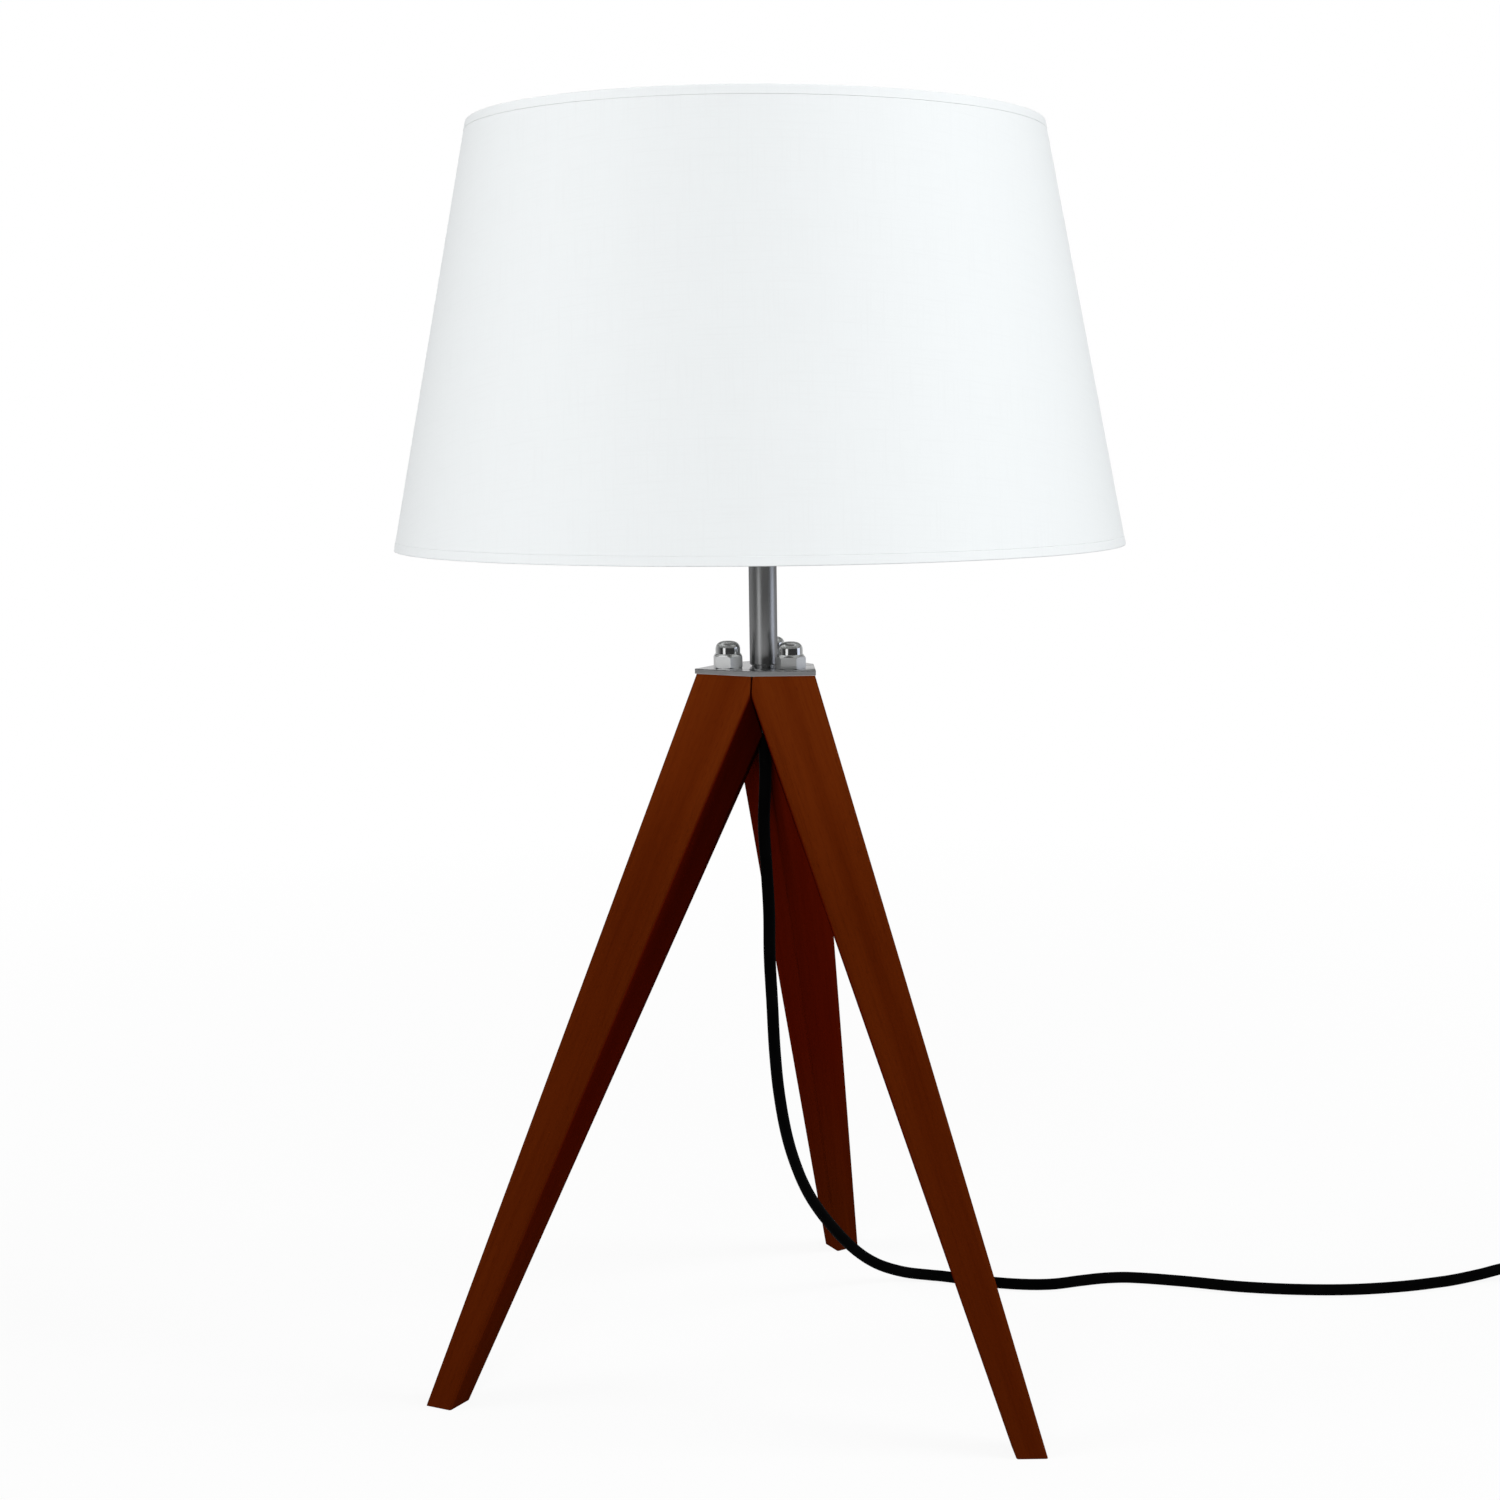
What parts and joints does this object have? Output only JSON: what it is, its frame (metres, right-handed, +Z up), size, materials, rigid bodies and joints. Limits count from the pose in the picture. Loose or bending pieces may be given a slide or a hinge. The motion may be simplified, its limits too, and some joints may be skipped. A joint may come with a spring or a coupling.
{
  "type": "tripod table lamp",
  "caption": "Table lamp with a tapered white drum shade on a short metal column over a mitred tripod of tapered square wooden legs, with a black mains lead.",
  "frame": {"origin": "on the column's axis at the level of the floor that the three feet stand on", "axes": "+Z up along the column, -Y towards the side of the lamp with the open mitre line between two legs, +X to that viewer's right, the way the lead runs"},
  "size_m": [0.7673, 0.4193, 0.6105],
  "materials": {
    "wood": "satin stain, fine grain",
    "satin_metal": "satin",
    "bright_metal": "polished",
    "zinc_steel": "zinc",
    "contact_brass": "plain",
    "ceramic": "glazed",
    "holder_plastic": "gloss",
    "black_plastic": "matt",
    "white_wire": "powder coat",
    "shade_cloth": "laminated woven cloth",
    "cord_black": "matt"
  },
  "bodies": {
    "lamp": {"leg_rear": "wood", "leg_right": "wood", "leg_left": "wood", "top_plate": "satin_metal", "leg_studs": "zinc_steel", "cap_nuts": "bright_metal", "column_tube": "satin_metal", "threaded_tube": "zinc_steel", "tube_washer": "zinc_steel", "tube_nut": "zinc_steel", "cord_grip": "black_plastic", "inner_lead": "cord_black", "holder_cap": "holder_plastic", "holder_body": "holder_plastic", "holder_core": "ceramic", "screw_shell": "contact_brass", "centre_contact": "contact_brass", "side_contact": "contact_brass", "shade_ring": "holder_plastic", "cord_lead": "cord_black", "switch_lower": "black_plastic", "switch_upper": "black_plastic", "switch_screws": "zinc_steel", "cord_coil": "cord_black", "plug_body": "black_plastic", "plug_pins": "bright_metal", "plug_sleeves": "black_plastic"},
    "shade": {"shade_hub": "white_wire", "shade_arms": "white_wire", "shade_low_ring": "white_wire", "shade_top_ring": "white_wire", "shade_skin": "shade_cloth", "shade_hem_bottom": "shade_cloth", "shade_hem_top": "shade_cloth"},
    "rocker": {"switch_rocker": "black_plastic"}
  },
  "joints": [
    {"name": "shade_turn", "type": "hinge", "parent": "lamp", "child": "shade", "pos_m": [0, 0, 0.4527], "axis": [0, 0, 1], "continuous": true},
    {"name": "rocker_press", "type": "hinge", "parent": "lamp", "child": "rocker", "pos_m": [0.456, 0.084, 0.0125], "axis": [0, 1, 0], "range_deg": [0, 14]}
  ]
}
